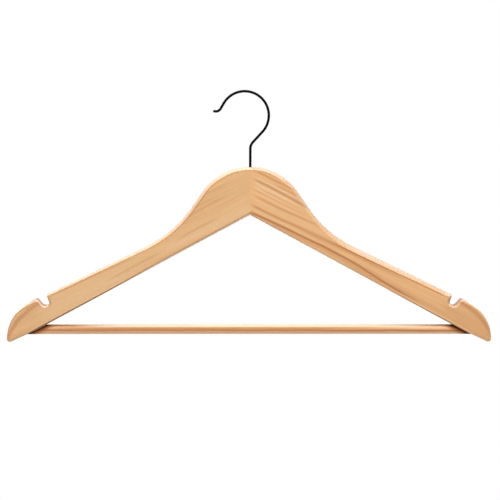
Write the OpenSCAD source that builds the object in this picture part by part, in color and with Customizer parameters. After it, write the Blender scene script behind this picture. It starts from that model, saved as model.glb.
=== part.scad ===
// Wooden clothes hanger with a swivelling wire hook and a round trouser bar.
// Frame: the origin is on the underside of the hook's crown, where the rail carries it.
// +X runs along the arms, +Y goes from the front face to the back face, +Z is up.

/* [Arms] */
// Width over the two tips
span = 446; // [370:1:540]
// Thickness of the board that the arms are cut from
arm_t = 12; // [11.5:0.5:18]
// Radius of the domed top of the neck
dome_r = 52.8; // [44:0.1:58]
// Slope of the neck's flank below the dome, from level
flank_angle = 55; // [46:1:62]
// Slope of the shoulder, from level
shoulder_angle = 25.7; // [22:0.1:27]
// Depth below the dome's top at which the two shoulder lines would cross
shoulder_drop = 27.6; // [24:0.1:34]
// Radius that blends the flank into the shoulder
neck_blend_r = 112; // [40:1:125]
// Depth of the underside's apex below the dome's top
apex_drop = 43.5; // [40:0.1:52]
// Slope of the underside, from level
under_angle = 28.5; // [28:0.1:31]
// Distance from the tip back to where the underside flattens
heel_back = 27; // [20:1:34]
// Slope of the underside outside that place, from level
heel_angle = 25; // [22:0.5:28]
// Radius of the long curve over the tip, as far as the tip's depth allows it
tip_r = 37.5; // [24:0.5:40]
// Radius of the tip's lower corner
tip_corner_r = 2.5; // [2.2:0.1:3]

/* [Strap notches] */
// Distance from the tip back to the notch's inner lip
notch_back = 36.8; // [32:0.1:44]
// Depth of the notch's floor below its inner lip
notch_depth = 10.5; // [8:0.1:12.6]
// Lean of the inner wall from upright, so that a strap is trapped
notch_lean = 16.5; // [0:0.5:20]
// Length of the notch's floor between its walls
notch_floor = 6.6; // [6.2:0.1:8]
// Radius in the corners of the floor
notch_floor_r = 3.2; // [2:0.1:3.3]
// Slope of the outer wall, from level
notch_flare = 51; // [45:1:60]
// Radius of both lips
notch_lip_r = 2.2; // [2.2:0.1:2.6]

/* [Centre joint] */
// Thickness of the glued tongue
tongue_t = 6; // [4.5:0.5:7]
// Length of the tongue past the seam
tongue_l = 8; // [6:0.5:14]
// Gap left for glue at the tongue's end
glue_gap = 0.1; // [0.05:0.05:0.3]

/* [Trouser bar] */
// Diameter of the bar
bar_d = 9; // [7:0.5:9.5]
// Distance from the tip back to where the bar's axis meets the underside
bar_back = 26; // [23:0.5:30]
// Wood left between the end of the bar's socket and the tip
socket_back = 10.5; // [8:0.5:13]
// Gap between the bar's end and the bottom of its socket
bar_end_gap = 0.5; // [0.2:0.1:1]
// Radial gap round the bar in its socket
bar_glue = 0.05; // [0.02:0.01:0.1]

/* [Bar brads] */
// Diameter of the brad that pins each end of the bar
brad_d = 1.2; // [1:0.1:1.6]
// Length of the brad
brad_l = 9.5; // [7:0.5:10]
// Diameter of the brad's head
brad_head_d = 1.9; // [1.8:0.1:2.6]
// Height of the brad's head
brad_head_h = 0.6; // [0.4:0.1:0.8]
// Distance of the brad from the bottom of the bar's socket
brad_back = 5; // [3:0.5:8]
// Radial gap round the brad
brad_gap = 0.01; // [0.01:0.01:0.05]

/* [Hook] */
// Diameter of the hook's wire
wire_d = 2.4; // [2:0.1:3]
// Inside radius of the hook's crown
crown_r = 20.6; // [16:0.1:25]
// Height of the crown's underside above the dome's top
crown_rise = 67.1; // [62:0.1:80]
// Distance from the swivel axis back to the middle of the crown
crown_offset = 5.2; // [0:0.1:8]
// Lean of the straight part below the crown, from upright
hook_lean = 42.5; // [36:0.5:50]
// Bend radius at the wire's centre, where the shank turns into the lean
shank_bend_r = 9; // [4:0.5:12]
// Angle round the crown at which the wire turns back into the lip
lip_start = 150; // [145:1:168]
// Bend radius of the lip at the wire's centre
lip_r = 5; // [5:0.5:11]
// Straight wire between the crown and the lip
lip_straight = 5.5; // [1:0.5:6]
// Angle that the lip turns through
lip_turn = 88; // [50:1:95]

/* [Swivel] */
// Radial gap round the wire in its bore
swivel_gap = 0.05; // [0.02:0.01:0.1]
// Up and down play of the hook
swivel_play = 0.2; // [0.1:0.05:0.3]
// Diameter of the counterbore that hides the nut
counterbore_d = 7.5; // [7:0.1:8.5]
// Depth of the counterbore above the underside's apex
counterbore_depth = 10; // [8:0.5:14]
// Outside diameter of the thrust washer
washer_d = 6; // [5:0.1:6.5]
// Thickness of the washer
washer_t = 0.5; // [0.4:0.1:1]
// Radial gap round the wire in the washer
washer_gap = 0.15; // [0.05:0.05:0.3]
// Width of the nut over its flats
nut_af = 5; // [4.5:0.1:5.5]
// Height of the nut
nut_h = 2; // [1.6:0.1:2.4]
// Length of wire that is peened over below the nut
peened_end = 0.8; // [0.4:0.1:1.5]

/* [Hidden] */
$fn = 64;

// Longest step along a curved outline, and the largest turn at one step
step_l = 2;
step_a = 6;
// How far a cutter runs past the face that it opens
over = 1;

tip_x = span / 2;
swivel_x = crown_offset;
dome_z = -crown_rise;
wire_r = wire_d / 2;

// ---- outline of the right arm: x from the seam, z from the dome's top ----

function shoulder_z(x) = -shoulder_drop - x * tan(shoulder_angle);
function heel_x() = tip_x - heel_back;
function under_z(x) = -apex_drop - min(x, heel_x()) * tan(under_angle)
                      - max(x - heel_x(), 0) * tan(heel_angle);

// The dome turns from level into the flank over this corner.
dome_corner_x = dome_r * tan(flank_angle / 2);
// The flank and the shoulder would meet here.
neck_x = (dome_corner_x * tan(flank_angle) + shoulder_drop) / (tan(flank_angle) - tan(shoulder_angle));

notch_x = tip_x - notch_back;
notch_z = shoulder_z(notch_x) - notch_depth;
floor_in_x = notch_x - notch_depth * tan(notch_lean);
floor_out_x = floor_in_x + notch_floor;
notch_out_x = (-shoulder_drop - notch_z + floor_out_x * tan(notch_flare))
              / (tan(notch_flare) + tan(shoulder_angle));

// What the tip's upright edge leaves for the long curve, once its lower corner is rounded.
tip_edge = shoulder_z(tip_x) - under_z(tip_x) - tip_corner_r * tan((90 + heel_angle) / 2);
tip_curve_r = min(tip_r, tip_edge / tan((90 - shoulder_angle) / 2));

// Each corner is [x, z, radius].
arm_corners = [
    [0, 0, 0],
    [dome_corner_x, 0, dome_r],
    [neck_x, shoulder_z(neck_x), neck_blend_r],
    [notch_x, shoulder_z(notch_x), notch_lip_r],
    [floor_in_x, notch_z, notch_floor_r],
    [floor_out_x, notch_z, notch_floor_r],
    [notch_out_x, shoulder_z(notch_out_x), notch_lip_r],
    [tip_x, shoulder_z(tip_x), tip_curve_r],
    [tip_x, under_z(tip_x), tip_corner_r],
    [heel_x(), under_z(heel_x()), 0],
    [0, -apex_drop, 0]
];

function unit(v) = v / norm(v);
function flat(p) = [p.x, p.y];
function wrap(a) = a > 180 ? a - 360 : a < -180 ? a + 360 : a;

// Points of the arc that rounds corner p, coming from a and going on to b.
function rounded_corner(a, p, b) =
    p[2] == 0 ? [flat(p)] :
    let (
        u = unit(flat(a) - flat(p)),
        v = unit(flat(b) - flat(p)),
        half = acos(u * v) / 2,
        centre = flat(p) + unit(u + v) * p[2] / sin(half),
        first = flat(p) + u * p[2] / tan(half) - centre,
        last = flat(p) + v * p[2] / tan(half) - centre,
        start = atan2(first.y, first.x),
        turn = wrap(atan2(last.y, last.x) - start),
        steps = ceil(max(abs(turn) / step_a, abs(turn) * PI / 180 * p[2] / step_l))
    )
    [for (i = [0:steps]) centre + p[2] * [cos(start + turn * i / steps), sin(start + turn * i / steps)]];

// The first corner adds no point, because the arc of the second one begins on it.
function rounded_outline(c) =
    let (n = len(c))
    [for (i = [1:n - 1]) each rounded_corner(c[i - 1], c[i], c[(i + 1) % n])];

// ---- arms ----

// Puts what is drawn from the dome's top on the swivel axis.
module at_dome() translate([swivel_x, 0, dome_z]) children();

// One arm as it leaves the saw, on the +X side of the seam.
module arm_blank()
    rotate([90, 0, 0]) linear_extrude(arm_t, center = true) polygon(rounded_outline(arm_corners));

// The slab that holds the tongue, from the seam out to x = length.
module tongue_slab(length)
    translate([0, -tongue_t / 2, -apex_drop * 2]) cube([length, tongue_t, apex_drop * 2 + over]);

shoulder_depth = apex_drop - counterbore_depth;

// Everything drilled for the hook: the wire's bore and the nut's counterbore.
module hook_bore() {
    translate([0, 0, -shoulder_depth - over])
        cylinder(r = wire_r + swivel_gap, h = shoulder_depth + 2 * over);
    translate([0, 0, -apex_drop - counterbore_d])
        cylinder(d = counterbore_d, h = counterbore_depth + counterbore_d);
}

bar_z = under_z(tip_x - bar_back);
socket_x = tip_x - socket_back;
bar_half = socket_x - bar_end_gap;
brad_x = socket_x - brad_back;

// Blind socket for the right end of the bar; it starts inside the opening between the arms.
module bar_socket()
    translate([socket_x / 2, 0, bar_z]) rotate([0, 90, 0])
        cylinder(d = bar_d + 2 * bar_glue, h = socket_x / 2);

// A brad on the right end of the bar, grown all round by gap.
module brad_shape(gap)
    translate([brad_x, arm_t / 2, bar_z]) rotate([90, 0, 0]) {
        translate([0, 0, -gap]) cylinder(d = brad_head_d + 2 * gap, h = brad_head_h + 2 * gap);
        cylinder(d = brad_d + 2 * gap, h = brad_l + gap);
    }

// What is cut from both arms, on the +X side.
module arm_cuts() {
    hook_bore();
    bar_socket();
    brad_shape(brad_gap);
}

module left_arm()
    color("burlywood") at_dome() difference() {
        union() {
            mirror([1, 0, 0]) arm_blank();
            intersection() {
                arm_blank();
                tongue_slab(tongue_l);
            }
        }
        mirror([1, 0, 0]) arm_cuts();
    }

module right_arm()
    color("tan") at_dome() difference() {
        arm_blank();
        tongue_slab(tongue_l + glue_gap);
        arm_cuts();
    }

// ---- trouser bar and its brads ----

module trouser_bar()
    color("peru") at_dome() difference() {
        translate([-bar_half, 0, bar_z]) rotate([0, 90, 0]) cylinder(d = bar_d, h = 2 * bar_half);
        brad_shape(brad_gap);
        mirror([1, 0, 0]) brad_shape(brad_gap);
    }

module left_bar_brad() color("silver") at_dome() mirror([1, 0, 0]) brad_shape(0);
module right_bar_brad() color("silver") at_dome() brad_shape(0);

// ---- hook ----

// Drawn wire thins where it is bent, and each bend grows out of the straight wire next to it.
bend_wire_r = wire_r - 0.02;
bend_seat = 0.1;

crown_path_r = crown_r + bend_wire_r;
crown_z = -crown_r;

// The straight lean touches the crown here, and would cut the swivel axis below.
lean_end = [crown_path_r * cos(hook_lean), crown_z - crown_path_r * sin(hook_lean)];
lean_cut_z = lean_end.y - (lean_end.x - swivel_x) / tan(hook_lean);
// The bend takes this length from the shank and from the lean.
bend_l = shank_bend_r * tan(hook_lean / 2);
bend_z = lean_cut_z - bend_l;
lean_l = norm(lean_end - [swivel_x, lean_cut_z]) - bend_l;

// The lip's short straight starts where the crown ends, and its bend has its centre outside the crown.
lip_foot = [crown_path_r * cos(lip_start), crown_z + crown_path_r * sin(lip_start)];
lip_centre = lip_foot + lip_straight * [-sin(lip_start), cos(lip_start)]
             + lip_r * [cos(lip_start), sin(lip_start)];

washer_z = dome_z - shoulder_depth - swivel_play - washer_t;
nut_z = washer_z - nut_h;
shank_end_z = nut_z - peened_end;

// A bend of the wire about the point c, from angle a0 through turn degrees, seated at both ends.
module wire_bend(c, r, a0, turn) {
    seat_a = bend_seat / r * 180 / PI;
    translate([c.x, 0, c.y]) rotate([90, 0, 0]) rotate(a0 - seat_a)
        rotate_extrude(angle = turn + 2 * seat_a) translate([r, 0]) circle(r = bend_wire_r);
}

// A straight stretch of the wire from the point p, leaning from upright towards +X.
module wire_straight(p, lean, length)
    translate([p.x, 0, p.y]) rotate([0, lean, 0]) cylinder(r = wire_r, h = length);

module hook()
    color("dimgray") union() {
        wire_straight([swivel_x, shank_end_z], 0, bend_z - shank_end_z);
        wire_bend([swivel_x + shank_bend_r, bend_z], shank_bend_r, 180 - hook_lean, hook_lean);
        wire_straight(lean_end, hook_lean + 180, lean_l);
        wire_bend([0, crown_z], crown_path_r, -hook_lean, hook_lean + lip_start);
        wire_straight(lip_foot, -lip_start, lip_straight);
        wire_bend(lip_centre, lip_r, lip_start - 180 - lip_turn, lip_turn);
    }

module thrust_washer()
    color("silver") translate([swivel_x, 0, washer_z]) difference() {
        cylinder(d = washer_d, h = washer_t);
        translate([0, 0, -over]) cylinder(r = wire_r + washer_gap, h = washer_t + 2 * over);
    }

// The nut is threaded on the wire, so its bore is the wire's own size.
module hook_nut()
    color("silver") translate([swivel_x, 0, nut_z]) difference() {
        cylinder(d = nut_af / cos(30), h = nut_h, $fn = 6);
        translate([0, 0, -over]) cylinder(r = wire_r, h = nut_h + 2 * over);
    }

left_arm();
right_arm();
trouser_bar();
left_bar_brad();
right_bar_brad();
hook();
thrust_washer();
hook_nut();
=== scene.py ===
"""Wooden clothes hanger: two glued arms, a round trouser bar and a swivelling wire hook.

Everything is in metres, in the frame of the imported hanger: the origin is under the hook's crown,
+X runs along the arms, +Y to the back and +Z up.
"""

from math import cos, hypot, pi, radians, sin, tan

import bmesh
import bpy
from mathutils import Color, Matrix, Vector


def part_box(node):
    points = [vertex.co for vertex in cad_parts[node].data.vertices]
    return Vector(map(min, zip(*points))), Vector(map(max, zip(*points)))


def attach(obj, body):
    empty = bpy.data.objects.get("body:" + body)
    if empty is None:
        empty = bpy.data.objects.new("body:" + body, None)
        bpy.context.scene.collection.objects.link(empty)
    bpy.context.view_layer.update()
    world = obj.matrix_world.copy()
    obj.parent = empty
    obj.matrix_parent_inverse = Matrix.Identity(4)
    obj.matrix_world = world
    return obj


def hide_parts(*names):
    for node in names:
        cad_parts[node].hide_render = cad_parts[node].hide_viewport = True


bl_info = {
    "name": "Wooden Clothes Hanger",
    "version": (1, 0, 0),
    "blender": (4, 5, 0),
    "location": "View3D > Sidebar > Hanger",
    "description": "Builds a wooden suit hanger with a trouser bar and a wire hook",
    "category": "Add Mesh",
}

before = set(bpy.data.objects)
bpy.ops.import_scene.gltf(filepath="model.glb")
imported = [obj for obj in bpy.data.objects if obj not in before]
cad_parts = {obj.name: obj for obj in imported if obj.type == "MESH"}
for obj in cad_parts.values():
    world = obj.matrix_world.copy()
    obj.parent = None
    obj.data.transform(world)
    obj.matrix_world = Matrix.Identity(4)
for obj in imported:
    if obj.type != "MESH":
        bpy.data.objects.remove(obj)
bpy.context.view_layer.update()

MM = 0.001
WELD = 0.002 * MM  # points nearer to each other than this are one point
CLOSE = 0.01 * MM  # how far off a plane a point in it may lie
CLEAR = MM  # how far a cutting tool stands out of what it cuts
REACH = 30 * MM  # the same for a tool that comes from further away
FACING = 0.9  # how squarely a face that is picked looks along an axis
ROUND = 2.0  # the power of an edge's round profile; 1 is a flat chamfer
HOOK_BODY = "hook"
FRAME_BODY = "frame"


def middle(node):
    """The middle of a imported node's box."""
    low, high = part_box(node)
    return (low + high) / 2


def radius_of(node):
    low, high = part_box(node)
    return (high.x - low.x) / 2


SWIVEL_X = middle("hook_nut").x
FRONT_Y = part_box("right_arm")[0].y
TIP_X, BACK_Y, DOME_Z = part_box("right_arm")[1]

# The arm's outline, in millimetres out from the swivel and down from the dome's top.
APEX_DROP = 43.5
SHOULDER_DROP, SHOULDER_SLOPE = 27.6, tan(radians(25.7))
MIDDLE_DROP, MIDDLE_SLOPE = 35.5, tan(radians(27.1))
NOTCH_START, NOTCH_END = 185.0, 201.0
NOTCH_LIP = 1.2  # the notch's edge starts this far below the shoulder
NOTCH_ALONG = 207.0  # the notch's middle, along the grain from the apex
BAR_BACK = 26.0  # from the tip back to where the bar enters

# Between which distances out from the swivel the arm's rounded edges change, in millimetres.
TO_FLANK = (16, 28)
TO_CHAMFER = (40, 105)
TO_SHOULDER = (50, 100)
UNDERSIDE_NARROWS = (70, 150)
SHOULDER_NARROWS = (115, 165)
TIP_NARROWS = (205, 220)
ROOM = 0.88  # how much of the room between two corners their roundings may fill
WIDENING = 0.45  # the most that a rounding widens for each length of outline

NUT_CHAMFER = 0.32 * MM
WASHER_GAP, WASHER_ROUND = 0.15 * MM, 0.08 * MM
HEAD_RIM, HEAD_ROUND = 0.35 * MM, 0.15 * MM  # on a brad's head
POINT_L, POINT_END = 1.8 * MM, 0.25  # a brad's point, and how wide its end is left


# ---- sizes and finishes ----


def amount(name, description, default, **more):
    return bpy.props.FloatProperty(name=name, description=description, default=default, **more)


def length(name, description, millimetres):
    return amount(name, description, millimetres * MM, unit="LENGTH", precision=5)


def angle(name, description, degrees):
    return amount(name, description, radians(degrees), subtype="ANGLE")


def fraction(name, description, default):
    """A number from 0 to 1."""
    return amount(name, description, default, min=0, max=1)


def whole(name, description, default, low, high):
    return bpy.props.IntProperty(
        name=name, description=description, default=default, min=low, max=high
    )


def colour(name, description, *screen):
    """A colour property given as its 0 to 255 values on screen."""
    linear = tuple(Color([part / 255 for part in screen]).from_srgb_to_scene_linear())
    return bpy.props.FloatVectorProperty(
        name=name, description=description, default=linear, subtype="COLOR", min=0, max=1
    )


class HangerSizes(bpy.types.PropertyGroup):
    edge_round: length("Edge rounding", "Radius along the edges at the neck's top", 3.0)
    flank_round: length("Flank rounding", "Radius along the edges down the neck", 3.6)
    under_left_round: length("Left underside", "Width of the edge under the left arm", 2.8)
    under_round: length("Right underside", "Width of the edge under the right arm", 2.0)
    notch_round: length("Notch rounding", "Radius along the edges of the notches", 1.9)
    tip_upper_round: length("Upper tip rounding", "Radius past the notches", 2.2)
    tip_round: length("Tip rounding", "Radius along the tips and by the bar", 1.1)
    left_shoulder_round: length("Left shoulder", "Radius along the left shoulder", 2.7)
    shoulder_round: length("Right shoulder", "Width of the right shoulder's edge", 3.9)
    shoulder_end: length("Shoulder's end", "Width of that edge by the notch", 3.2)
    shoulder_flat: fraction("Shoulder flatness", "How flat the right shoulder's edge is", 0.8)
    outline_step: length("Outline step", "Longest edge along the arms' outline", 4.0)
    edge_first: length("First rounding", "Radius that fits the tightest corners", 1.5)
    edge_steps: whole("Edge steps", "Facets across the rounded edge", 6, 2, 12)
    tongue_t: length("Tongue thickness", "Thickness of the glued tongue", 6)
    tongue_l: length("Tongue length", "Length of the tongue past the seam", 8)
    glue_gap: length("Glue gap", "Gap left at the tongue's end", 0.1)
    bore_gap: length("Bore gap", "Radial gap round the wire in the arms", 0.05)
    counterbore_d: length("Counterbore", "Diameter of the hole that hides the nut", 7.5)
    swivel_play: length("Swivel play", "Gap above the washer", 0.2)
    bar_gap: length("Bar gap", "Radial gap round the bar in its socket", 0.05)
    bar_end_gap: length("Bar end gap", "Gap between the bar and its socket's bottom", 0.5)
    bar_chamfer: length("Bar chamfer", "Chamfer on the bar's ends", 0.5)
    brad_gap: length("Brad gap", "Radial gap round a brad", 0.01)
    brad_d: length("Brad shank", "Diameter of a brad's shank", 1.2)
    brad_head_h: length("Brad head", "Height of a brad's head", 0.6)


class HookSizes(bpy.types.PropertyGroup):
    wire_r: length("Wire radius", "Radius of the hook's wire", 1.2)
    crown_r: length("Crown radius", "Radius of the crown at the wire's centre", 21.78)
    crown_z: length("Crown height", "Height of the crown's centre", -20.6)
    lean: angle("Lean", "Lean of the straight part below the crown", 42.5)
    shank_bend_r: length("Shank bend", "Radius of the bend above the shank", 9)
    lip_start: angle("Lip start", "Angle round the crown at which the lip begins", 150)
    lip_straight: length("Lip straight", "Straight wire between the crown and the lip", 5.5)
    lip_r: length("Lip radius", "Radius of the lip's bend", 5)
    lip_turn: angle("Lip turn", "Angle that the lip turns through", 88)
    tip_round: length("Tip rounding", "Rounding on the wire's cut tip", 0.6)
    peened_h: length("Peened height", "Length of wire spread below the nut", 0.8)
    peened_r: length("Peened radius", "Radius of the spread end", 1.5)
    sides: whole("Sides", "Facets round the wire", 32, 12, 64)
    step: angle("Bend step", "Turn at each step of a bend", 4)


class WoodFinish(bpy.types.PropertyGroup):
    left_tone: colour("Left arm", "Wood colour of the left arm", 237, 184, 125)
    right_tone: colour("Right arm", "Wood colour of the right arm", 244, 187, 125)
    bar_tone: colour("Bar", "Wood colour of the bar", 234, 176, 118)
    # The bar's top tone is a painted highlight along its top.
    bar_highlight_tone: colour("Bar's top", "Painted highlight along the bar's top", 247, 225, 193)
    # The streak tone also paints shade inside the roundings, on the right shoulder and on the bar's
    # front.
    streak_and_shade_tone: colour("Streaks", "Colour of the darker growth lines and of painted shade lines", 186, 113, 48)
    grain_angle: angle("Grain angle", "Slope of the grain along each arm", 26.5)
    # The pale tone also paints a highlight just inside the arms' undersides.
    pale_tone: colour("Pale bands", "Colour of the palest growth bands and of a painted highlight under the arms", 250, 206, 157)
    # The left arm's pale edge tone is partly sanded wood and partly a painted highlight.
    left_edge_tone: colour("Left edges", "Sanded edges of the left arm, paled as a painted highlight", 240, 208, 178)
    right_edge_tone: colour("Right edges", "Sanded edges of the right arm", 209, 177, 148)
    # The joint tone paints the shadow where the bar enters the arms and the shade under the arms.
    joint_shadow_tone: colour("Joint", "Painted shadow where the bar enters the arms, and painted shade under the arms", 82, 34, 15)
    # The shade tone is painted shade at the tips, in the notches and on the bar by the arms.
    shade_tone: colour("Shade", "Painted shade at the tips, in the notches and on the bar", 150, 84, 48)
    # The paler edges are partly sanded wood and partly a painted highlight.
    edge_wear_and_highlight: fraction("Edge wear and highlight", "How much paler the edges are, sanded and painted as lit", 0.8)
    # The rim is a painted shade line just inside each rounding.
    rim_shade_depth: fraction("Rim", "How dark the painted shade line inside each rounding is", 0.55)
    varnish: fraction("Varnish", "Strength of the clear varnish", 1.0)
    varnish_roughness: fraction("Varnish roughness", "Roughness of the varnish", 0.2)


class MetalFinish(bpy.types.PropertyGroup):
    hook_tone: colour("Hook", "Colour of the dark wire", 4, 4, 5)
    hook_gloss: fraction("Hook gloss", "How strongly the dark wire mirrors", 0.035)
    steel_tone: colour("Steel", "Colour of the plated nut, washer and brads", 190, 190, 186)


class StudioSettings(bpy.types.PropertyGroup):
    floor_z: length("Floor height", "Height of the floor below the hook's crown", -1400)
    floor_size: length("Floor size", "Width of the floor", 5000)
    floor_tone: colour("Floor", "Colour of the floor", 170, 170, 170)
    floor_glow: amount("Floor glow", "How bright the floor looks of itself", 0.8)
    world_light: amount("Room light", "Strength of the light from all round", 0.26)
    key_light: amount("Key light", "Watts of the soft box above the front", 36)
    top_light: amount("Top light", "Watts of the long soft box overhead", 8)
    low_light: amount("Low light", "Watts of the faint soft box below", 2.2)
    back_light: amount("Back light", "Watts of the soft box behind", 14)
    camera_place: bpy.props.FloatVectorProperty(
        name="Camera place",
        description="Where the camera stands",
        default=(-0.018, -1.236, 0.0571),
        subtype="TRANSLATION",
        unit="LENGTH",
    )
    camera_tilt: angle("Camera tilt", "How far the camera looks down", 9.21)
    camera_roll: angle("Camera roll", "How far the camera leans to its left", 0.2)
    camera_turn: angle("Camera turn", "How far the camera turns to its right", 1.045)
    lens: amount("Lens", "Focal length in millimetres", 98.5)


# ---- modelling helpers ----


def let_go():
    bpy.ops.object.select_all(action="DESELECT")


def hold(piece):
    """Leaves piece as the only selected object and makes it active."""
    let_go()
    piece.select_set(True)
    bpy.context.view_layer.objects.active = piece


def edit(piece, mode="FACE"):
    """Opens piece in edit mode with nothing selected."""
    hold(piece)
    bpy.ops.object.mode_set(mode="EDIT")
    bpy.ops.mesh.select_mode(type=mode)
    bpy.ops.mesh.select_all(action="DESELECT")


def leave():
    bpy.ops.object.mode_set(mode="OBJECT")


def take_all():
    bpy.ops.mesh.select_all(action="SELECT")


def extrude(*offset):
    """Extrudes what is selected in edit mode."""
    bpy.ops.mesh.extrude_region_move(TRANSFORM_OT_translate={"value": offset})


def pick(piece, test, kind="faces"):
    """Selects, in edit mode, only the faces or edges that pass the test, and counts them."""
    mesh = bmesh.from_edit_mesh(piece.data)
    mesh.normal_update()
    for part in (*mesh.faces, *mesh.edges, *mesh.verts):
        part.select = False
    found = [part for part in getattr(mesh, kind) if test(part)]
    for part in found:
        part.select_set(True)
    mesh.select_flush_mode()
    bmesh.update_edit_mesh(piece.data)
    return len(found)


def name_piece(name):
    """Names the object that an operator has just made, and puts its place into its mesh."""
    piece = bpy.context.object
    piece.name = piece.data.name = name
    bpy.ops.object.transform_apply()
    return piece


def add_object(name, data):
    made = bpy.data.objects.new(name, data)
    bpy.context.collection.objects.link(made)
    return made


def cylinder(name, radius, start, end, sides=48):
    """A closed cylinder between two points."""
    start, end = Vector(start), Vector(end)
    axis = end - start
    let_go()
    bpy.ops.mesh.primitive_cylinder_add(
        vertices=sides,
        radius=radius,
        depth=axis.length,
        location=(start + end) / 2,
        rotation=axis.to_track_quat("Z", "Y").to_euler(),
    )
    return name_piece(name)


def on_swivel(z):
    """The point of the swivel's axis at a height."""
    return SWIVEL_X, 0, z


def ends_of(node, more=0.0):
    """The ends of a node on the swivel's axis, or points further out by some more."""
    low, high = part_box(node)
    return on_swivel(low.z - more), on_swivel(high.z + more)


def at_depth(centre, y):
    """The point straight in front of or behind a centre."""
    return centre.x, y, centre.z


def carve(piece, tool, operation="DIFFERENCE"):
    """Cuts piece with tool, or keeps only what they share, and uses the tool up."""
    hold(piece)
    cut = piece.modifiers.new("carve", "BOOLEAN")
    cut.operation = operation
    cut.solver = "EXACT"
    cut.object = tool
    bpy.ops.object.modifier_apply(modifier=cut.name)
    bpy.data.objects.remove(tool)


def drill(piece, name, radius, start, end, sides=48):
    """Cuts a round hole in piece between two points."""
    carve(piece, cylinder(name, radius, start, end, sides))


def bevel_edges(piece, test, width, steps):
    """Rounds the edges of piece that pass the test."""
    edit(piece, "EDGE")
    if not pick(piece, test, "edges"):
        raise RuntimeError(f"{piece.name} has no edge to round")
    bpy.ops.mesh.bevel(offset=width, segments=steps, affect="EDGES")
    leave()


def face_out(piece):
    edit(piece)
    take_all()
    bpy.ops.mesh.normals_make_consistent(inside=False)
    leave()


def smooth(piece, degrees=35):
    """Shades piece smooth below an angle, with the flat faces left truly flat."""
    hold(piece)
    bpy.ops.object.shade_smooth_by_angle(angle=radians(degrees))
    weigh = piece.modifiers.new("flat faces stay flat", "WEIGHTED_NORMAL")
    weigh.weight = 100
    weigh.keep_sharp = True
    bpy.ops.object.modifier_apply(modifier=weigh.name)


def finish_piece(piece, body, slot, finish, *nodes):
    """Gives piece its finish and its body, and hides the nodes that it stands for."""
    piece.data.materials.clear()
    piece.data.materials.append(finish)
    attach(piece, body)
    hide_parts(*nodes)


def at_y(part, y):
    return all(abs(vert.co.y - y) < CLOSE for vert in part.verts)


def is_across(edge, axis):
    """Whether an edge's two ends are equally far along an axis."""
    first, second = (getattr(vert.co, axis) for vert in edge.verts)
    return abs(first - second) < CLOSE


# ---- finishes ----


class Recipe:
    """The nodes of a material or of the world, added from left to right."""

    def __init__(self, owner):
        owner.use_nodes = True
        self.owner = owner
        self.tree = owner.node_tree
        self.tree.nodes.clear()
        self.count = 0

    def feed(self, socket, value):
        if isinstance(value, bpy.types.NodeSocket):
            self.tree.links.new(value, socket)
        else:
            socket.default_value = value

    def node(self, kind, *values, **settings):
        """Adds a node with its first sockets fed in turn."""
        made = self.tree.nodes.new(kind)
        made.location = (180 * (self.count % 12), -260 * (self.count // 12))
        self.count += 1
        for key, value in settings.items():
            setattr(made, key, value)
        for socket, value in zip(made.inputs, values):
            self.feed(socket, value)
        return made

    def add(self, kind, **sockets):
        """Adds a node with its named sockets fed, for its first output."""
        made = self.node(kind)
        for key, value in sockets.items():
            self.feed(made.inputs[key.replace("_", " ")], value)
        return made.outputs[0]

    def close(self, surface, kind="ShaderNodeOutputMaterial"):
        """Ends the recipe in its output, and gives what it is the recipe of."""
        self.node(kind, surface)
        return self.owner

    def shader(self, **sockets):
        return self.close(self.add("ShaderNodeBsdfPrincipled", **sockets))

    def maths(self, operation, *values, clamp=False):
        settings = {"operation": operation, "use_clamp": clamp}
        return self.node("ShaderNodeMath", *values, **settings).outputs[0]

    def times(self, value, *others):
        for other in others:
            value = self.maths("MULTIPLY", value, other)
        return value

    def most(self, value, *others):
        """The greatest of some values."""
        for other in others:
            value = self.maths("MAXIMUM", value, other)
        return value

    def apart(self, first, second):
        """How far apart two values are."""
        return self.maths("ABSOLUTE", self.maths("SUBTRACT", first, second))

    def spread(self, value, low, high, to_low=0.0, to_high=1.0, kind="SMOOTHSTEP"):
        numbers = value, low, high, to_low, to_high
        return self.node("ShaderNodeMapRange", *numbers, interpolation_type=kind).outputs[0]

    def fade(self, value, start, end, full=1.0):
        """Full before the start, and nothing after the end."""
        return self.spread(value, start, end, full, 0.0)

    def mix(self, factor, first, second):
        made = self.node("ShaderNodeMix", data_type="RGBA")
        for index, value in ((0, factor), (6, first), (7, second)):
            self.feed(made.inputs[index], value)
        return made.outputs[2]

    def noise(self, vector, scale, detail=3.0, roughness=0.55):
        """Noise of one scale, or of a scale for each axis."""
        if isinstance(scale, tuple):
            stretch = self.node("ShaderNodeVectorMath", vector, scale, operation="MULTIPLY")
            vector, scale = stretch.outputs[0], 1.0
        return self.add(
            "ShaderNodeTexNoise", Vector=vector, Scale=scale, Detail=detail, Roughness=roughness
        )

    def bump(self, height, strength, distance):
        return self.add("ShaderNodeBump", Strength=strength, Distance=distance, Height=height)

    def place(self):
        return self.node("ShaderNodeTexCoord").outputs["Object"]


def material(name):
    return Recipe(bpy.data.materials.new(name))


def shade(tone, factor=1.0):
    """A tone made lighter or darker, as a socket takes it."""
    return (*(min(1.0, part * factor) for part in tone), 1.0)


def grain_space(recipe, origin, slope, side):
    """The place in millimetres from a point, then its parts along, through and across the grain."""
    sockets = recipe.place(), origin, (0, side * slope, 0), (side * MM, MM, MM)
    turned = recipe.node("ShaderNodeMapping", *sockets, vector_type="TEXTURE").outputs[0]
    return turned, *recipe.node("ShaderNodeSeparateXYZ", turned).outputs


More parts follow.
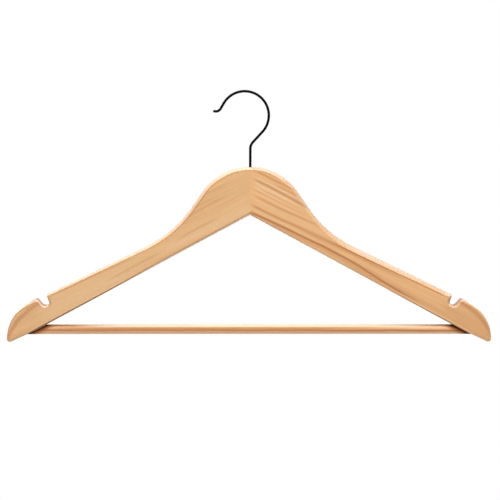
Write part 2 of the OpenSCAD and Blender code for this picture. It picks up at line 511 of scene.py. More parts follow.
def wander(recipe, along, bends):
    """How far across the grain a line is, from its bends: each so far along, so far across."""
    reach = bends[-1][0]
    made = recipe.node("ShaderNodeFloatCurve")
    made.mapping.use_clip = False
    low = min(across for _, across in bends)
    high = max(across for _, across in bends)
    points = [(x / reach, (across - low) / (high - low)) for x, across in bends]
    curve = made.mapping.curves[0]
    curve.points[0].location = points[0]
    curve.points[-1].location = points[-1]
    for x, y in points[1:-1]:
        curve.points.new(x, y)
    made.mapping.update()
    recipe.feed(made.inputs["Value"], recipe.maths("DIVIDE", along, reach, clamp=True))
    return recipe.maths("MULTIPLY_ADD", made.outputs[0], high - low, low)


def growth_line(recipe, across, along, line):
    """How much a line of the lists below shows: most on its centre and none at its width."""
    centre, width, depth, ends = line
    if isinstance(centre, list):
        centre = wander(recipe, along, centre)
    shown = recipe.fade(recipe.apart(across, centre), 0.0, width, depth)
    if ends:
        shown = recipe.times(shown, recipe.spread(along, *ends[:2]))
    if len(ends) > 2:
        shown = recipe.times(shown, recipe.fade(along, *ends[2:]))
    return shown


# Where a board's finish changes, in millimetres in from its faces and then along it.
# They place a painted shade line inside the roundings, paler edges that are partly sanded wood and
# partly a painted highlight, and painted shade at the tips and in the notch.
RIM_SHADE_STARTS, RIM_SHADE_ENDS = (0.002, 0.03), (0.12, 0.45)
WEAR_HIGHLIGHT_STARTS, WEAR_HIGHLIGHT_EASES, WEAR_HIGHLIGHT_LEAST = (0.2, 0.65), (4.5, 6.0), 0.35
TIP_EDGE, TIP_SHADE = (0.1, 0.6), 0.45
NOTCH_EDGE, NOTCH_SHADE = (1.6, 2.6), 0.65
WEAR_HIGHLIGHT_ENDS, TIP_STARTS = (224, 238), (226, 238)
NOTCH_FADES = (8, 12)  # out from the notch's middle


def board_edges(recipe, body, along, through, edges):
    """Adds a board's paler edges, partly sanded and partly a painted highlight, and painted shade
    inside its roundings, at its tips and in its notch, which has no gloss.

    The edges give the distances along the board between which the painted shade line inside its
    roundings fades, in millimetres, and the tone of the paler edges.
    """
    finish = bpy.context.scene.wood_finish
    rim_shade_fades, tone = edges
    half_t = (BACK_Y - FRONT_Y) / MM / 2
    depth = recipe.maths("SUBTRACT", half_t, recipe.apart(through, half_t))

    # A painted shade line just inside each rounding, in the streaks' tone.
    rim = recipe.times(
        recipe.spread(depth, *RIM_SHADE_STARTS, 0.0, finish.rim_shade_depth), recipe.fade(depth, *RIM_SHADE_ENDS)
    )
    if rim_shade_fades:
        rim = recipe.times(rim, recipe.fade(along, *rim_shade_fades))
    body = recipe.mix(rim, body, shade(finish.streak_and_shade_tone))

    # The edges are paler: partly sanded wood, partly a painted highlight.
    wear_and_highlight = recipe.times(
        recipe.spread(depth, *WEAR_HIGHLIGHT_STARTS, 0.0, finish.edge_wear_and_highlight),
        recipe.spread(depth, *WEAR_HIGHLIGHT_EASES, 1.0, WEAR_HIGHLIGHT_LEAST),
        recipe.fade(along, *WEAR_HIGHLIGHT_ENDS),
    )
    body = recipe.mix(wear_and_highlight, body, shade(tone))

    # Painted shade along the tips' edges and on the notch's walls.
    tip = recipe.times(
        recipe.spread(depth, *TIP_EDGE, 0.0, TIP_SHADE), recipe.spread(along, *TIP_STARTS)
    )
    notch_shade = recipe.times(
        recipe.spread(depth, *NOTCH_EDGE, 0.0, NOTCH_SHADE),
        recipe.fade(recipe.apart(along, NOTCH_ALONG), *NOTCH_FADES),
    )
    return recipe.mix(recipe.most(tip, notch_shade), body, shade(finish.shade_tone)), notch_shade


def paint_joint_shadow(recipe, body, along, across, mouth):
    """Adds a painted shadow of the arms on a bar, where it enters them and along its top near them,
    and gives where it has no gloss.
    """
    finish = bpy.context.scene.wood_finish
    out = recipe.maths("ABSOLUTE", along)
    gap = recipe.times(recipe.maths("SUBTRACT", mouth, out), sin(finish.grain_angle))
    gap = recipe.maths("MULTIPLY_ADD", across, -cos(finish.grain_angle), gap)
    # Painted shadow of the arms along the bar's top near its ends.
    top = recipe.times(
        recipe.spread(out, mouth - 80, mouth - 8, 0.0, 0.9, "LINEAR"),
        recipe.spread(across, 3.0, 4.1),
    )
    # Painted shadow on the bar where it enters the arms, darkest in the mouth.
    mouth_shadow = recipe.most(top, recipe.fade(gap, 1.6, 6.0, 0.85))
    body = recipe.mix(mouth_shadow, body, shade(finish.shade_tone))
    body = recipe.mix(recipe.fade(gap, 0.7, 2.5, 0.97), body, shade(finish.joint_shadow_tone))
    return body, recipe.most(top, recipe.fade(gap, 2.0, 7.0))


def wood(name, tone, lines, pale_lines, grain, painted_lines, figure=1.0, edges=None, mouth=None):
    """Varnished wood with broad bands, fine fibres, pores and a few growth lines of its own.

    The grain gives the point it is measured from, its slope, and -1 where it runs to the left.
    Painted lines are lines of painted shade and painted highlight, each with its tone. A board has
    edges, and a bar has a mouth: how far out from its middle, in millimetres, it enters the arms.
    """
    finish = bpy.context.scene.wood_finish
    recipe = material(name)
    place, along, through, across = grain_space(recipe, *grain)

    # The growth lines lean through the board and waver a little along it.
    waver = recipe.maths("SUBTRACT", recipe.noise(place, (0.018, 0.05, 0.06), 2.0), 0.5)
    leaned = recipe.maths("MULTIPLY_ADD", through, 0.45, across)
    leaned = recipe.maths("ADD", leaned, recipe.times(waver, 1.2))

    bands = recipe.noise(place, (0.006, 0.12, 0.22), 3, 0.6)
    streaks = recipe.noise(place, (0.011, 0.3, 0.6), 3, 0.6)
    flecks = recipe.noise(place, (0.04, 0.2, 0.34), 3, 0.6)
    fibres = recipe.noise(place, (0.035, 0.9, 1.6), 4, 0.65)
    hairs = recipe.noise(place, (0.12, 2.0, 3.2), 2, 0.6)
    pores = recipe.noise(place, (0.4, 3.0, 5.0), 1)

    body = recipe.mix(recipe.spread(bands, 0.3, 0.7), shade(tone, 0.93), shade(tone, 1.06))
    for pattern, low, high, depth, dark in (
        (streaks, 0.5, 0.72, 0.5 * figure, 0.74),
        (flecks, 0.52, 0.72, 0.3 * figure, 0.78),
        (fibres, 0.45, 0.75, 0.34 * figure, 0.8),
        (hairs, 0.5, 0.8, 0.22, 0.78),
        (pores, 0.68, 0.78, 0.3, 0.55),
    ):
        body = recipe.mix(recipe.spread(pattern, low, high, 0.0, depth), body, shade(tone, dark))
    broken = recipe.spread(fibres, 0.2, 0.8, 0.85, 1.15, "LINEAR")
    for marks, mark in ((pale_lines, finish.pale_tone), (lines, finish.streak_and_shade_tone)):
        if marks:
            shown = recipe.most(*[growth_line(recipe, leaned, along, line) for line in marks])
            shown = recipe.maths("MULTIPLY", shown, broken, clamp=True)
            body = recipe.mix(shown, body, shade(mark))

    matt = []
    if edges:
        # A board gets its paler edges and its painted shade here.
        body, notch_shade = board_edges(recipe, body, along, through, edges)
        matt.append(notch_shade)
    # Painted shade and painted highlight lines, which have no gloss.
    for line, mark in painted_lines:
        painted_line = growth_line(recipe, across, along, line)
        body = recipe.mix(painted_line, body, shade(mark))
        matt.append(painted_line)
    if mouth:
        # The bar gets the painted shadow of the arms where it enters them.
        body, shadowed = paint_joint_shadow(recipe, body, along, across, mouth)
        matt.append(shadowed)
    gloss = recipe.maths("SUBTRACT", 1.0, recipe.most(*matt))

    height = recipe.maths("MULTIPLY_ADD", hairs, 0.6, recipe.times(fibres, 0.4))
    return recipe.shader(
        Base_Color=body,
        Roughness=recipe.spread(fibres, 0.3, 0.8, 0.42, 0.56),
        Specular_IOR_Level=recipe.times(gloss, 0.5),
        Normal=recipe.bump(height, 0.12, 0.05 * MM),
        Coat_Weight=recipe.times(gloss, finish.varnish),
        Coat_Roughness=finish.varnish_roughness,
        IOR=1.45,
    )


def black_wire():
    """Deep black finish on the hook's wire, with faint patches and drawing marks."""
    finish = bpy.context.scene.metal_finish
    recipe = material("Black wire")
    place = recipe.place()
    patches = recipe.noise(place, 180.0)
    specks = recipe.noise(place, 2600.0, 2.0)
    tones = shade(finish.hook_tone), shade(finish.hook_tone, 2.0)
    return recipe.shader(
        Base_Color=recipe.mix(recipe.spread(patches, 0.35, 0.7), *tones),
        Roughness=recipe.spread(patches, 0.3, 0.7, 0.2, 0.28),
        Specular_IOR_Level=finish.hook_gloss,
        Normal=recipe.bump(specks, 0.08, 0.01 * MM),
    )


def plated_steel(name, roughness):
    """Dull zinc plating with cloudy patches and fine scratches."""
    tone = bpy.context.scene.metal_finish.steel_tone
    recipe = material(name)
    place = recipe.place()
    clouds = recipe.noise(place, 700.0, 4.0)
    scratches = recipe.noise(place, (400.0, 9000.0, 2500.0))
    body = recipe.mix(recipe.spread(clouds, 0.3, 0.7), shade(tone, 0.72), shade(tone))
    scratched = recipe.times(recipe.spread(scratches, 0.6, 0.75), 0.3)
    return recipe.shader(
        Base_Color=recipe.mix(scratched, body, shade(tone, 0.45)),
        Metallic=1.0,
        Roughness=recipe.spread(clouds, 0.3, 0.7, roughness, roughness + 0.15),
        Normal=recipe.bump(scratches, 0.15, 0.02 * MM),
    )


# Growth lines, each as its distance from the apex line across the grain, its half width, its depth,
# and where along the arm it starts, is full, begins to fade and ends. All lengths in millimetres.
# A distance that changes is a list of bends, and a line without the last two ends never fades.
MAIN_LINE = [
    (0, 2.9), (15, 3.2), (35, 3.7), (55, 4.0), (75, 4.3), (90, 4.1), (100, 3.6),
    (110, 2.8), (120, 1.6), (130, 0.3), (140, -0.7), (155, -1.5), (180, -2.6), (240, -5.0),
]
SECOND_LINE = [(0, 9.2), (25, 9.3), (45, 10.0), (75, 10.2), (100, 10.8), (130, 10.7), (240, 13.0)]
UNDER_MAIN = [(0, 1.4), (75, 2.4), (100, 1.4), (130, -1.8), (160, -3.4), (240, -7.0)]
OVER_MAIN = [(0, 6.0), (100, 3.0), (120, 1.8), (150, 0.2), (175, -1.0), (240, -3.0)]
BY_MAIN = [(0, 5.0), (112, 2.9), (127, 2.4), (145, 1.8), (240, 0.0)]
RIGHT_TIP = [(0, 16.5), (205, 15.0), (225, 12.2), (240, 5.8), (252, -4.0)]
RIGHT_LINES = [
    (MAIN_LINE, 2.2, 1.0, (-6, 4, 150, 200)),
    (UNDER_MAIN, 3.4, 0.34, (0, 30, 130, 200)),
    ([(100, 0.0), (140, -2.6), (240, -8.0)], 5.0, 0.34, (85, 115, 150, 190)),
    (OVER_MAIN, 5.0, 0.3, (95, 125, 205, 225)),
    (BY_MAIN, 1.6, 0.4, (92, 108, 125, 150)),
    (SECOND_LINE, 2.1, 0.64, (-8, 4, 40, 95)),
    (SECOND_LINE, 3.2, 0.5, (30, 60, 115, 175)),
    ([(0, 17.8), (20, 17.9), (35, 18.6), (60, 19.3)], 2.0, 0.42, (-10, 4, 40, 75)),
    (22.3, 1.5, 0.24, (-10, 0, 30, 55)),
    (25.3, 1.2, 0.22, (-2, 6, 24, 40)),
    ([(0, 31.2), (20, 30.5), (45, 29.8)], 2.0, 0.66, (-16, -4, 34, 60)),
    (35.2, 1.6, 0.38, (4, 14, 30, 45)),
    (38.4, 1.8, 0.62, (-20, -8, 22, 50)),
    (41.2, 1.1, 0.25, (-20, -8, 22, 50)),
    (RIGHT_TIP, 4.6, 0.62, (203, 212)),
    (-8.0, 9.0, 0.45, (224, 246)),
    (1.0, 15.0, 0.24, (190, 204)),
    (-1.0, 13.0, 0.32, (204, 214)),
]
RIGHT_PALE_LINES = [
    (6.0, 2.4, 0.35, (-10, 0, 40, 80)),
    (14.5, 2.6, 0.25, (-10, 0, 40, 90)),
    (20.7, 1.6, 0.4, (-10, 0, 30, 60)),
    (24.2, 1.5, 0.7, (-12, -4, 14, 36)),
    (28.2, 2.6, 0.8, (-14, -4, 24, 44)),
    (33.0, 1.7, 0.75, (-16, -6, 22, 40)),
    (43.3, 1.6, 0.9, (-20, -10, 10, 24)),
]
LEFT_MAIN = [(0, 10.4), (50, 10.5), (80, 7.6), (110, 5.4), (150, 3.6), (240, 1.0)]
LEFT_SECOND = [(0, 8.0), (90, 6.2), (125, 5.0), (150, 3.8), (240, 1.0)]
LEFT_TIP = [(0, 14.5), (205, 13.5), (225, 10.5), (240, 4.0), (252, -6.0)]
LEFT_LINES = [
    (LEFT_MAIN, 1.8, 0.3, (20, 40, 58, 75)),
    (LEFT_SECOND, 1.8, 0.3, (80, 98, 128, 150)),
    ([(0, 25.4), (25, 25.4), (45, 24.6), (60, 24.0)], 2.0, 0.32, (8, 22, 50, 70)),
    (29.0, 1.6, 0.18, (15, 28, 40, 60)),
    # This line is painted shade just inside the left shoulder's rounded edge.
    ([(0, 12.4), (110, 12.6), (160, 14.2), (240, 16.0)], 1.8, 0.24, (105, 125, 175, 230)),
    (35.4, 1.8, 0.16, (4, 12, 26, 44)),
    (20.5, 1.6, 0.12, (-10, 0, 50, 80)),
    (LEFT_TIP, 3.6, 0.55, (203, 212)),
    (-10.0, 9.0, 0.4, (222, 244)),
]
LEFT_PALE_LINES = [
    (6.5, 7.5, 0.45, (-10, 0, 70, 120)),
    (14.0, 3.0, 0.25, (-10, 0, 40, 80)),
    (4.0, 16.0, 0.45, (70, 150, 200, 225)),
]
BAR_LINES = [([(0, -1.75), (60, -1.8), (100, -2.1), (240, -2.4)], 1.5, 1.0, ())]

# Painted shade inside the right shoulder's rounded edge and along the underside near the bar, and a
# painted highlight just inside the underside's edge.
RIGHT_SHOULDER_SHADE = ([(0, 10.0), (110, 11.5), (160, 12.6), (240, 14.0)], 1.0, 0.75, (60, 95, 188, 200))
UNDERSIDE_HIGHLIGHT = ([(0, 2.3), (240, -6.1)], 0.9, 0.6, (110, 170, 226, 236))
RIGHT_UNDERSIDE_SHADE = ([(0, 0.4), (240, -8.0)], 0.9, 0.8, (120, 190, 226, 236))
LEFT_UNDERSIDE_SHADE = ([(0, 0.9), (240, -7.5)], 1.1, 0.75, (80, 170, 226, 236))

# Painted shade along the bar's front and a painted highlight along its top.
BAR_FRONT_SHADE = ([(0, 2.1), (240, 2.2)], 1.6, 0.8, (-230, -130, 60, 190))
BAR_TOP_HIGHLIGHT = ([(0, 3.8), (240, 3.9)], 1.7, 1.0, (-170, -130, 150, 190))


# ---- pieces ----


def blend(out, where, first, second):
    """Goes smoothly from first to second between two distances out from the swivel."""
    start, end = where
    part = min(1.0, max(0.0, (out - start) / (end - start)))
    return first + part * part * (3 - 2 * part) * (second - first)


def edge_shape(place):
    """The width and the power of the edge's rounding at a place of the outline."""
    sizes = bpy.context.scene.hanger_sizes
    right = place.x > SWIVEL_X
    out = abs(place.x - SWIVEL_X) / MM
    drop = (DOME_Z - place.z) / MM
    if drop > MIDDLE_DROP + out * MIDDLE_SLOPE:
        full = sizes.under_round if right else sizes.under_left_round
        return blend(out, UNDERSIDE_NARROWS, full, sizes.tip_round), ROUND
    if out > NOTCH_START:
        inside = drop > SHOULDER_DROP + out * SHOULDER_SLOPE + NOTCH_LIP and out < NOTCH_END
        full = sizes.notch_round if inside else sizes.tip_upper_round
        return blend(out, TIP_NARROWS, full, sizes.tip_round), ROUND
    neck = blend(out, TO_FLANK, sizes.edge_round, sizes.flank_round)
    if not right:
        return blend(out, TO_SHOULDER, neck, sizes.left_shoulder_round), ROUND
    shoulder = blend(out, SHOULDER_NARROWS, sizes.shoulder_round, sizes.shoulder_end)
    power = blend(out, TO_CHAMFER, ROUND, ROUND - sizes.shoulder_flat)
    return blend(out, TO_SHOULDER, neck, shoulder), power


def neighbours(vert):
    return [edge.other_vert(vert) for edge in vert.link_edges]


def rim_ring(mesh, depth, level):
    """The verts at one depth into the board, in their order round its outline."""
    feet = [vert for vert in mesh.verts if abs(depth(vert) - level) < WELD]
    ring, last = [feet[0]], None
    while True:
        ahead = next(v for v in neighbours(ring[-1]) if v in feet and v is not last)
        if ahead is ring[0]:
            break
        last = ring[-1]
        ring.append(ahead)
    if len(ring) != len(feet):
        raise RuntimeError("the rounded edge is not one closed ring")
    return ring


def fit_widths(widths, outline, mitres):
    """Narrows the rounding where two corners would meet, and lets it widen slowly from there."""
    gaps = []
    for i, place in enumerate(outline):
        j = (i + 1) % len(outline)
        along = outline[j] - place
        gaps.append(along.length)
        closing = (mitres[i] - mitres[j]).dot(along)
        if closing > 0:
            room = ROOM * along.length_squared / closing
            widths[i], widths[j] = min(widths[i], room), min(widths[j], room)
    steps = range(len(widths))
    for _ in range(2):
        for i in steps:
            widths[i] = min(widths[i], widths[i - 1] + WIDENING * gaps[i - 1])
        for i in reversed(steps):
            widths[i] = min(widths[i], widths[(i + 1) % len(widths)] + WIDENING * gaps[i])


def widen_rounding(board):
    """Opens the first small rounding to its full width where the outline's corners leave room."""
    sizes = bpy.context.scene.hanger_sizes
    first, steps = sizes.edge_first, sizes.edge_steps
    mesh = bmesh.new()
    mesh.from_mesh(board.data)
    for face_y, inward in ((FRONT_Y, 1), (BACK_Y, -1)):

        def depth(vert):
            return (vert.co.y - face_y) * inward

        columns = [[foot] for foot in rim_ring(mesh, depth, first)]
        for column in columns:
            for _ in range(steps):
                column.append(min(neighbours(column[-1]), key=depth))
        outline = [column[0].co.copy() for column in columns]
        mitres = [(column[-1].co - column[0].co) / first for column in columns]
        for mitre in mitres:
            mitre.y = 0
        shapes = [edge_shape(place) for place in outline]
        if face_y == BACK_Y:
            shapes = [(min(width, sizes.edge_round), ROUND) for width, _ in shapes]
        widths, powers = map(list, zip(*shapes))
        fit_widths(widths, outline, mitres)
        for column, place, mitre, width, power in zip(columns, outline, mitres, widths, powers):
            for step, vert in enumerate(column):
                turn = pi / 2 * (1 - step / steps)
                vert.co = place + mitre * (width * (1 - sin(turn) ** (2 / power)))
                vert.co.y = face_y + inward * width * (1 - cos(turn) ** (2 / power))
    mesh.to_mesh(board.data)
    mesh.free()
    board.data.update()


def merge_all():
    """Merges, in edit mode, the points that are in one place."""
    take_all()
    bpy.ops.mesh.remove_doubles(threshold=WELD)


def hanger_blank():
    """Both arms as one board with rounded edges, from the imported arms' front faces."""
    sizes = bpy.context.scene.hanger_sizes
    sides = []
    for node in ("left_arm", "right_arm"):
        side = add_object(f"{node}_front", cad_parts[node].data.copy())
        edit(side)
        merge_all()
        pick(side, lambda face: not at_y(face, FRONT_Y))
        bpy.ops.mesh.delete(type="FACE")
        leave()
        sides.append(side)
    hold(sides[0])
    sides[1].select_set(True)
    bpy.ops.object.join()
    blank = name_piece("hanger_blank")
    edit(blank)
    merge_all()
    take_all()
    bpy.ops.mesh.dissolve_faces()
    while pick(blank, lambda edge: edge.calc_length() > sizes.outline_step, "edges"):
        bpy.ops.mesh.subdivide(number_cuts=1)
    take_all()
    extrude(0, BACK_Y - FRONT_Y, 0)
    leave()
    face_out(blank)

    def on_outline(edge):
        return at_y(edge, FRONT_Y) or at_y(edge, BACK_Y)

    bevel_edges(blank, on_outline, sizes.edge_first, sizes.edge_steps)
    widen_rounding(blank)
    return blank


def joint_block(name, tongue_l):
    """The space left of the seam, with the tongue standing out of it."""
    half_t = bpy.context.scene.hanger_sizes.tongue_t / 2
    reach, depth, tall = 0.4, 0.1, 0.6  # more than the whole of the left arm
    let_go()
    bpy.ops.mesh.primitive_cube_add(
        size=1, location=(SWIVEL_X - reach / 2, 0, DOME_Z), scale=(reach, depth, tall)
    )
    block = name_piece(name)
    edit(block)
    for y in (-half_t, half_t):
        take_all()
        bpy.ops.mesh.bisect(plane_co=(0, y, 0), plane_no=(0, 1, 0))
    pick(block, lambda face: face.normal.x > FACING and abs(face.calc_center_median().y) < half_t)
    extrude(tongue_l, 0, 0)
    leave()
    face_out(block)
    return block


def cut_holes(arm, side):
    """Cuts the hook's bore, the nut's counterbore, the bar's socket and the brad's hole."""
    sizes = bpy.context.scene.hanger_sizes
    bore_r = bpy.context.scene.hook_sizes.wire_r + sizes.bore_gap
    seat_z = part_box("thrust_washer")[1].z + sizes.swivel_play
    nut_z = middle("hook_nut").z
    drill(arm, "hook_bore", bore_r, on_swivel(nut_z), on_swivel(DOME_Z + CLEAR))
    counterbore = on_swivel(seat_z - REACH), on_swivel(seat_z)
    drill(arm, "counterbore", sizes.counterbore_d / 2, *counterbore)

    low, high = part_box("trouser_bar")
    centre = middle("trouser_bar")
    end_x = high.x + sizes.bar_end_gap if side > 0 else low.x - sizes.bar_end_gap
    socket = (centre.x + side * REACH, 0, centre.z), (end_x, 0, centre.z)
    drill(arm, "bar_socket", high.y + sizes.bar_gap, *socket, 64)

    node = "right_bar_brad" if side > 0 else "left_bar_brad"
    low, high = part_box(node)
    centre, gap = middle(node), sizes.brad_gap
    under_y = high.y - sizes.brad_head_h - gap
    head = at_depth(centre, under_y), at_depth(centre, high.y + CLEAR)
    drill(arm, "brad_head_hole", radius_of(node) + gap, *head, 24)
    shank = at_depth(centre, low.y - gap), at_depth(centre, high.y)
    drill(arm, "brad_hole", sizes.brad_d / 2 + gap, *shank, 24)


class HANGER_OT_arms(bpy.types.Operator):
    """Model the two glued arms with rounded edges, their tongue joint and their holes"""

    bl_idname = "hanger.arms"
    bl_label = "Arms"

    def execute(self, context):
        sizes = context.scene.hanger_sizes
        finish = context.scene.wood_finish
        apex = (SWIVEL_X, FRONT_Y, DOME_Z - APEX_DROP * MM)
        left = hanger_blank()
        left.name = left.data.name = "left_arm_wood"
        right = add_object("right_arm_wood", left.data.copy())
        carve(left, joint_block("left_joint", sizes.tongue_l), "INTERSECT")
        carve(right, joint_block("right_joint", sizes.tongue_l + sizes.glue_gap))
        for arm, side in ((left, -1), (right, 1)):
            cut_holes(arm, side)
            smooth(arm)
        left_wood = wood(
            "Varnished wood left",
            finish.left_tone,
            LEFT_LINES,
            LEFT_PALE_LINES,
            (apex, finish.grain_angle, -1),
            [(UNDERSIDE_HIGHLIGHT, finish.pale_tone), (LEFT_UNDERSIDE_SHADE, finish.joint_shadow_tone)],
            figure=0.6,
            edges=(None, finish.left_edge_tone),
        )
        right_wood = wood(
            "Varnished wood right",
            finish.right_tone,
            RIGHT_LINES,
            RIGHT_PALE_LINES,
            (apex, finish.grain_angle, 1),
            [
                (RIGHT_SHOULDER_SHADE, finish.streak_and_shade_tone),
                (UNDERSIDE_HIGHLIGHT, finish.pale_tone),
                (RIGHT_UNDERSIDE_SHADE, finish.joint_shadow_tone),
            ],
            edges=((-2, 12), finish.right_edge_tone),
        )
        finish_piece(left, FRAME_BODY, "wood_left", left_wood, "left_arm")
        finish_piece(right, FRAME_BODY, "wood_right", right_wood, "right_arm")
        return {"FINISHED"}


class HANGER_OT_trouser_bar(bpy.types.Operator):
    """Turn the round trouser bar with its chamfered ends"""

    bl_idname = "hanger.trouser_bar"
    bl_label = "Trouser bar"

    def execute(self, context):
        finish = context.scene.wood_finish
        low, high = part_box("trouser_bar")
        z = middle("trouser_bar").z
        bar = cylinder("trouser_bar_wood", high.y, (low.x, 0, z), (high.x, 0, z), 64)
        chamfer = context.scene.hanger_sizes.bar_chamfer
        bevel_edges(bar, lambda edge: is_across(edge, "x"), chamfer, 2)
        smooth(bar)
        bar_wood = wood(
            "Varnished wood bar",
            finish.bar_tone,
            BAR_LINES,
            [],
            (middle("trouser_bar"), 0, 1),
            [(BAR_FRONT_SHADE, finish.streak_and_shade_tone), (BAR_TOP_HIGHLIGHT, finish.bar_highlight_tone)],
            mouth=(TIP_X - SWIVEL_X) / MM - BAR_BACK,
        )
        finish_piece(bar, FRAME_BODY, "wood_bar", bar_wood, "trouser_bar")
        return {"FINISHED"}


class HANGER_OT_brads(bpy.types.Operator):
    """Make the two brads that pin the bar, each with a low rounded head and a point"""

    bl_idname = "hanger.brads"
    bl_label = "Bar brads"

    def execute(self, context):
        sizes = context.scene.hanger_sizes
        steel = plated_steel("Brad steel", 0.3)
        for node in ("left_bar_brad", "right_bar_brad"):
            low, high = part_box(node)
            centre = middle(node)
            head_r = radius_of(node)
            under_y = high.y - sizes.brad_head_h
            head = at_depth(centre, under_y), at_depth(centre, high.y)
            brad = cylinder(f"{node}_steel", head_r, *head, 24)
            edit(brad)
            pick(brad, lambda face: face.normal.y < -FACING)
            bpy.ops.mesh.inset(thickness=head_r - sizes.brad_d / 2)
            extrude(0, low.y + POINT_L - under_y, 0)
            extrude(0, -POINT_L, 0)
            point = at_depth(centre, low.y)
            bpy.ops.transform.resize(value=(POINT_END, 1, POINT_END), center_override=point)
            pick(brad, lambda face: face.normal.y > FACING)
            bpy.ops.mesh.inset(thickness=HEAD_RIM)
            leave()

            def on_rim(edge):
                within = head_r - HEAD_RIM / 2
                spots = [vert.co - centre for vert in edge.verts]
                return at_y(edge, high.y) and all(hypot(spot.x, spot.z) > within for spot in spots)

            bevel_edges(brad, on_rim, HEAD_ROUND, 3)
            face_out(brad)
            smooth(brad)
            finish_piece(brad, FRAME_BODY, "brad_steel", steel, node)
        return {"FINISHED"}


def heading(turn):
    """The direction at an angle up from the arms' direction, in the plane of the hook."""
    return Vector((cos(turn), 0, sin(turn)))


class HANGER_OT_hook(bpy.types.Operator):
    """Bend the hook from one length of wire, from its peened end up to its lip"""

    bl_idname = "hanger.hook"
    bl_label = "Hook"

    def execute(self, context):
        sizes = context.scene.hook_sizes
        r, lean = sizes.wire_r, sizes.lean
        end_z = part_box("hook")[0].z
        crown = Vector((0, 0, sizes.crown_z))
        lean_end = crown + sizes.crown_r * heading(-lean)
        cut_z = lean_end.z - (lean_end.x - SWIVEL_X) / tan(lean)
        bend_l = sizes.shank_bend_r * tan(lean / 2)
        bend_z = cut_z - bend_l
        lean_l = (lean_end - Vector(on_swivel(cut_z))).length - bend_l

        let_go()
        bpy.ops.mesh.primitive_circle_add(
            vertices=sizes.sides, radius=r, fill_type="NGON", location=on_swivel(end_z)
        )
        wire = name_piece("hook_wire")
        edit(wire)
        take_all()

        def grow(along, distance):
            extrude(*(along * distance))

        def swell(end, ratio):
            bpy.ops.transform.resize(value=(ratio, ratio, ratio), center_override=tuple(end))

        def bend(centre, turn, sign):
            steps = max(4, round(turn / sizes.step))
            bpy.ops.mesh.spin(steps=steps, angle=turn, center=tuple(centre), axis=(0, -sign, 0))

        def taper(start, along, shape):
            """Grows the wire with its radius at each distance from the start."""
            reach, radius = 0, r
            for distance, wanted in shape:
                if distance:
                    grow(along, distance - reach)
                swell(start + along * distance, wanted / radius)
                reach, radius = distance, wanted

        # The peened end swells out below the nut and closes on it again.
        up = heading(pi / 2)
        h, wide = sizes.peened_h, sizes.peened_r
        shape = (0, 0.7 * r), (0.12 * h, 0.92 * r), (0.35 * h, wide), (0.75 * h, wide), (h, r)
        taper(Vector(on_swivel(end_z)), up, shape)
        grow(up, bend_z - end_z - sizes.peened_h)
        bend((SWIVEL_X + sizes.shank_bend_r, 0, bend_z), lean, 1)
        grow(heading(pi / 2 - lean), lean_l)
        bend(crown, lean + sizes.lip_start, -1)
        outward, down = heading(sizes.lip_start), heading(sizes.lip_start + pi / 2)
        grow(down, sizes.lip_straight)
        lip_centre = crown + outward * (sizes.crown_r + sizes.lip_r) + down * sizes.lip_straight
        turn = sizes.lip_turn - sizes.tip_round / sizes.lip_r
        bend(lip_centre, turn, 1)

        # The tip's rim is rounded off in four short steps.
        away = sizes.lip_start + pi - turn
        ahead, end = heading(away - pi / 2), lip_centre + sizes.lip_r * heading(away)
        parts = [step * pi / 8 for step in (1, 2, 3, 4)]
        rim = sizes.tip_round
        taper(end, ahead, [(rim * sin(part), r - rim * (1 - cos(part))) for part in parts])
        leave()
        face_out(wire)
        smooth(wire)
        finish_piece(wire, HOOK_BODY, "hook_metal", black_wire(), "hook")
        return {"FINISHED"}


class HANGER_OT_fasteners(bpy.types.Operator):
    """Make the hex nut and the thrust washer that hold the hook in the neck"""

    bl_idname = "hanger.fasteners"
    bl_label = "Nut and washer"

    def execute(self, context):
        sizes = context.scene.hook_sizes
        steel = plated_steel("Zinc plated steel", 0.28)
        nut_r, ends = radius_of("hook_nut"), ends_of("hook_nut")
        nut = cylinder("hook_nut_steel", nut_r, *ends, 6)
        edit(nut)
        take_all()
        bpy.ops.transform.rotate(value=radians(30), orient_axis="Z", center_override=ends[0])
        leave()
        turned = cylinder("nut_blank", nut_r, *ends, 64)
        bevel_edges(turned, lambda edge: is_across(edge, "z"), NUT_CHAMFER, 1)
        carve(nut, turned, "INTERSECT")
        drill(nut, "nut_bore", sizes.wire_r, *ends_of("hook_nut", CLEAR), 32)
        smooth(nut, 25)
        finish_piece(nut, HOOK_BODY, "fastener_steel", steel, "hook_nut")

        node = "thrust_washer"
        washer = cylinder(f"{node}_steel", radius_of(node), *ends_of(node), 64)
        drill(washer, "washer_hole", sizes.wire_r + WASHER_GAP, *ends_of(node, CLEAR))

        def on_rim(edge):
            return is_across(edge, "z") and edge.calc_face_angle() > 1

        bevel_edges(washer, on_rim, WASHER_ROUND, 2)
        smooth(washer)
        finish_piece(washer, HOOK_BODY, "fastener_steel", steel, "thrust_washer")
        return {"FINISHED"}


# The soft boxes: place, height that it aims at on the swivel's line, size, and its own setting.
SOFT_BOXES = {
    "Key soft box": ((0.1, -1.1, 1.25), -0.13, (2.2, 1.5), "key_light"),
    "Top soft box": ((0.0, 0.0, 1.0), -0.1, (2.0, 0.4), "top_light"),
    "Low soft box": ((0.0, -0.1, -0.75), -0.17, (2.0, 0.5), "low_light"),
    "Back soft box": ((-0.2, 1.3, -0.5), -0.13, (2.0, 0.6), "back_light"),
}
WHITE = (1, 1, 1, 1)


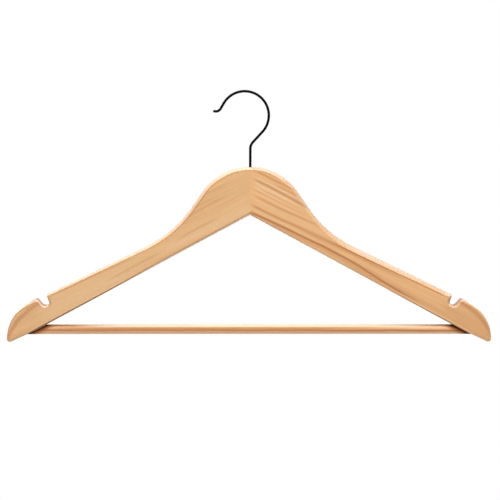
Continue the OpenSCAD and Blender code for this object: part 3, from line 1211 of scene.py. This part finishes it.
class HANGER_OT_stage(bpy.types.Operator):
    """Set the camera, the pale floor, the white surroundings and the soft boxes"""

    bl_idname = "hanger.stage"
    bl_label = "Stage"

    def seen(self, recipe):
        """1 for rays that see the background, whether straight on, mirrored or through glass."""
        path = recipe.node("ShaderNodeLightPath")
        rays = ("Is Camera Ray", "Is Glossy Ray", "Is Transmission Ray")
        return recipe.most(*[path.outputs[ray] for ray in rays])

    def execute(self, context):
        studio = context.scene.studio
        context.scene.view_settings.view_transform = "Standard"

        camera = bpy.data.cameras.new("Camera")
        camera.lens = studio.lens
        camera.sensor_width = 36
        eye = add_object("Camera", camera)
        eye.location = studio.camera_place
        eye.rotation_euler = (pi / 2 - studio.camera_tilt, -studio.camera_roll, -studio.camera_turn)
        context.scene.camera = eye

        let_go()
        bpy.ops.mesh.primitive_plane_add(size=studio.floor_size, location=(0, 0, studio.floor_z))
        floor = name_piece("floor")
        recipe = material("Pale floor")
        matt = recipe.add("ShaderNodeBsdfDiffuse", Color=shade(studio.floor_tone))
        strength = recipe.times(self.seen(recipe), studio.floor_glow)
        glow = recipe.add("ShaderNodeEmission", Color=WHITE, Strength=strength)
        both = recipe.node("ShaderNodeAddShader", matt, glow)
        floor.data.materials.append(recipe.close(both.outputs[0]))

        recipe = Recipe(bpy.data.worlds.new("White surroundings"))
        light = recipe.spread(self.seen(recipe), 0.0, 1.0, studio.world_light, 1.0, "LINEAR")
        sky = recipe.add("ShaderNodeBackground", Color=WHITE, Strength=light)
        context.scene.world = recipe.close(sky, "ShaderNodeOutputWorld")

        for name, (place, aim_z, size, setting) in SOFT_BOXES.items():
            light = bpy.data.lights.new(name, "AREA")
            light.shape = "RECTANGLE"
            light.size, light.size_y = size
            light.energy = getattr(studio, setting)
            lamp = add_object(name, light)
            lamp.location = place
            aim = Vector((0, 0, aim_z)) - Vector(place)
            lamp.rotation_euler = aim.to_track_quat("-Z", "Y").to_euler()
            lamp.visible_camera = False
        return {"FINISHED"}


class HANGER_PT_panel(bpy.types.Panel):
    """The hanger's sizes, finishes and pieces"""

    bl_label = "Hanger"
    bl_idname = "HANGER_PT_panel"
    bl_space_type = "VIEW_3D"
    bl_region_type = "UI"
    bl_category = "Hanger"

    def draw(self, context):
        for name, group in GROUPS.items():
            box = self.layout.box()
            box.label(text=name.replace("_", " ").capitalize())
            for key in group.__annotations__:
                box.prop(getattr(context.scene, name), key)
        for operator in OPERATORS:
            self.layout.operator(operator.bl_idname)


GROUPS = {
    "hanger_sizes": HangerSizes,
    "hook_sizes": HookSizes,
    "wood_finish": WoodFinish,
    "metal_finish": MetalFinish,
    "studio": StudioSettings,
}
OPERATORS = (
    HANGER_OT_arms,
    HANGER_OT_trouser_bar,
    HANGER_OT_brads,
    HANGER_OT_hook,
    HANGER_OT_fasteners,
    HANGER_OT_stage,
)


CLASSES = (*GROUPS.values(), *OPERATORS, HANGER_PT_panel)


def register():
    for made in CLASSES:
        bpy.utils.register_class(made)
    for name, group in GROUPS.items():
        setattr(bpy.types.Scene, name, bpy.props.PointerProperty(type=group))


def unregister():
    for name in GROUPS:
        delattr(bpy.types.Scene, name)
    for made in reversed(CLASSES):
        bpy.utils.unregister_class(made)


def main():
    register()
    bpy.ops.hanger.arms()
    bpy.ops.hanger.trouser_bar()
    bpy.ops.hanger.brads()
    bpy.ops.hanger.hook()
    bpy.ops.hanger.fasteners()
    bpy.ops.hanger.stage()


if __name__ == "__main__":
    main()
